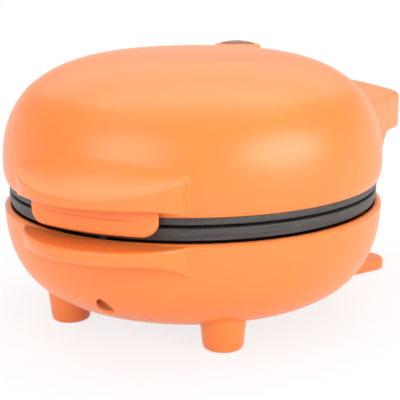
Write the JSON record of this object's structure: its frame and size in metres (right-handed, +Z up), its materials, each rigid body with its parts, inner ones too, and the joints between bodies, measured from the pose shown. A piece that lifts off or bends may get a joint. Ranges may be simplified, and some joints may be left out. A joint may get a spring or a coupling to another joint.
{
  "type": "contact grill",
  "caption": "Round countertop contact grill: a domed lid with a front lip, hinged at the rear over a bowl-shaped base, with ribbed plates between them, tapered feet and a rear stand.",
  "frame": {"origin": "on the floor under the middle of the body, at the middle of the overall width and depth", "axes": "+Z up, the front lip points to -Y, the hinge is at +Y, +X to the right seen from the front"},
  "size_m": [0.15, 0.1739, 0.1042],
  "materials": {
    "orange_plastic": "satin moulded orange plastic",
    "nonstick_coating": "dark grey non-stick coating on cast aluminium",
    "heater_sheath": "matt steel sheath",
    "zinc_sheet": "bright zinc-plated sheet",
    "screw_steel": "zinc-plated steel",
    "ceramic": "off-white steatite",
    "dark_phenolic": "dark brown phenolic moulding",
    "white_nylon": "natural nylon",
    "black_rubber": "matt black rubber",
    "lens_tint": "dark red-brown tinted lens",
    "bulb_glass": "clear glass"
  },
  "bodies": {
    "base": {"base_shell": "orange_plastic", "cord_bush": "black_rubber", "fixing_screws": "screw_steel", "foot_pads": "black_rubber", "front_foot_left": "orange_plastic", "front_foot_right": "orange_plastic", "hinge_pin_left": "screw_steel", "hinge_pin_right": "screw_steel", "lower_clamp_screw": "screw_steel", "lower_element_caps": "ceramic", "lower_element_clamp": "zinc_sheet", "lower_grill_plate": "nonstick_coating", "lower_heat_shield": "zinc_sheet", "lower_heating_element": "heater_sheath", "lower_plate_screws": "screw_steel", "rear_stand": "orange_plastic", "terminal_block": "white_nylon", "terminal_screws": "screw_steel", "thermal_cutout": "ceramic", "thermostat": "dark_phenolic", "thermostat_screws": "screw_steel"},
    "lid": {"lamp_bulb": "bulb_glass", "lamp_holder": "white_nylon", "lamp_lens": "lens_tint", "lid_shell": "orange_plastic", "upper_clamp_screw": "screw_steel", "upper_element_caps": "ceramic", "upper_element_clamp": "zinc_sheet", "upper_grill_plate": "nonstick_coating", "upper_heat_shield": "zinc_sheet", "upper_heating_element": "heater_sheath", "upper_plate_screws": "screw_steel"}
  },
  "joints": [
    {"name": "lid_hinge", "type": "hinge", "parent": "base", "child": "lid", "pos_m": [0, 0.073, 0.066], "axis": [-1, 0, 0], "range_deg": [0, 95]}
  ]
}
